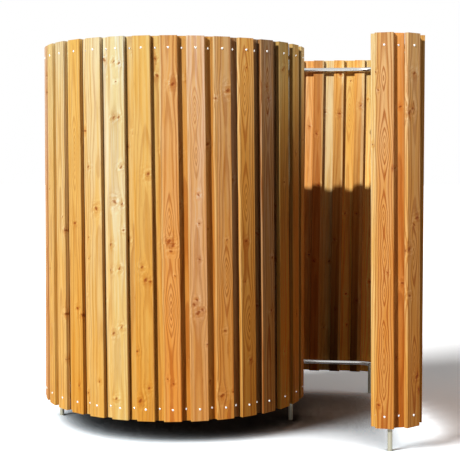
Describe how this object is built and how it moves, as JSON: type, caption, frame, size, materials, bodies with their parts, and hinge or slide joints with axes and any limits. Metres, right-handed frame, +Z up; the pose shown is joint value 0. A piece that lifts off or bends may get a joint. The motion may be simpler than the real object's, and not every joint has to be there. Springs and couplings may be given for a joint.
{
  "type": "outdoor changing cubicle",
  "caption": "Free-standing outdoor changing cubicle: a snail-shaped wall of overlapping upright larch boards on bent tube rails and short feet, open above, with a screened walk-in entrance.",
  "frame": {"origin": "centre of the object's box in plan, on the floor that the feet stand on", "axes": "+Z up; -Y the front, towards someone facing the drum and the screen end; +X to that person's right, where the entrance is"},
  "size_m": [2.1434, 1.6602, 2.1275],
  "materials": {
    "outer_board_larch": "planed larch, unpainted, with knots and strong yellow to red-brown grain",
    "inner_board_larch": "planed larch, unpainted, slightly more orange than the outer boards",
    "rail_steel": "bright stainless tube, fine lengthwise polish",
    "foot_steel": "dull stainless tube with a slight warm grey tone",
    "screw_steel": "bright domed screw heads"
  },
  "bodies": {
    "root": {"drum_entry_outer_boards": "outer_board_larch", "drum_front_outer_boards": "outer_board_larch", "drum_front_left_outer_boards": "outer_board_larch", "drum_left_outer_boards": "outer_board_larch", "drum_back_outer_boards": "outer_board_larch", "back_near_outer_boards": "outer_board_larch", "back_far_outer_boards": "outer_board_larch", "corner_outer_boards": "outer_board_larch", "side_rear_outer_boards": "outer_board_larch", "side_front_outer_boards": "outer_board_larch", "screen_outer_boards": "outer_board_larch", "drum_entry_inner_boards": "inner_board_larch", "drum_front_inner_boards": "inner_board_larch", "drum_front_left_inner_boards": "inner_board_larch", "drum_left_inner_boards": "inner_board_larch", "drum_back_inner_boards": "inner_board_larch", "back_near_inner_boards": "inner_board_larch", "back_far_inner_boards": "inner_board_larch", "corner_inner_boards": "inner_board_larch", "side_rear_inner_boards": "inner_board_larch", "side_front_inner_boards": "inner_board_larch", "screen_inner_boards": "inner_board_larch", "top_rail_drum_front": "rail_steel", "top_rail_drum_left": "rail_steel", "top_rail_drum_back": "rail_steel", "top_rail_back": "rail_steel", "top_rail_corner": "rail_steel", "top_rail_side": "rail_steel", "top_rail_screen": "rail_steel", "bottom_rail_drum_front": "rail_steel", "bottom_rail_drum_left": "rail_steel", "bottom_rail_drum_back": "rail_steel", "bottom_rail_back": "rail_steel", "bottom_rail_corner": "rail_steel", "bottom_rail_side": "rail_steel", "bottom_rail_screen": "rail_steel", "top_drum_screws": "screw_steel", "top_wall_screws": "screw_steel", "bottom_drum_screws": "screw_steel", "bottom_wall_screws": "screw_steel", "entry_foot": "foot_steel", "left_foot": "foot_steel", "back_foot": "foot_steel", "screen_foot": "foot_steel"}
  },
  "joints": []
}
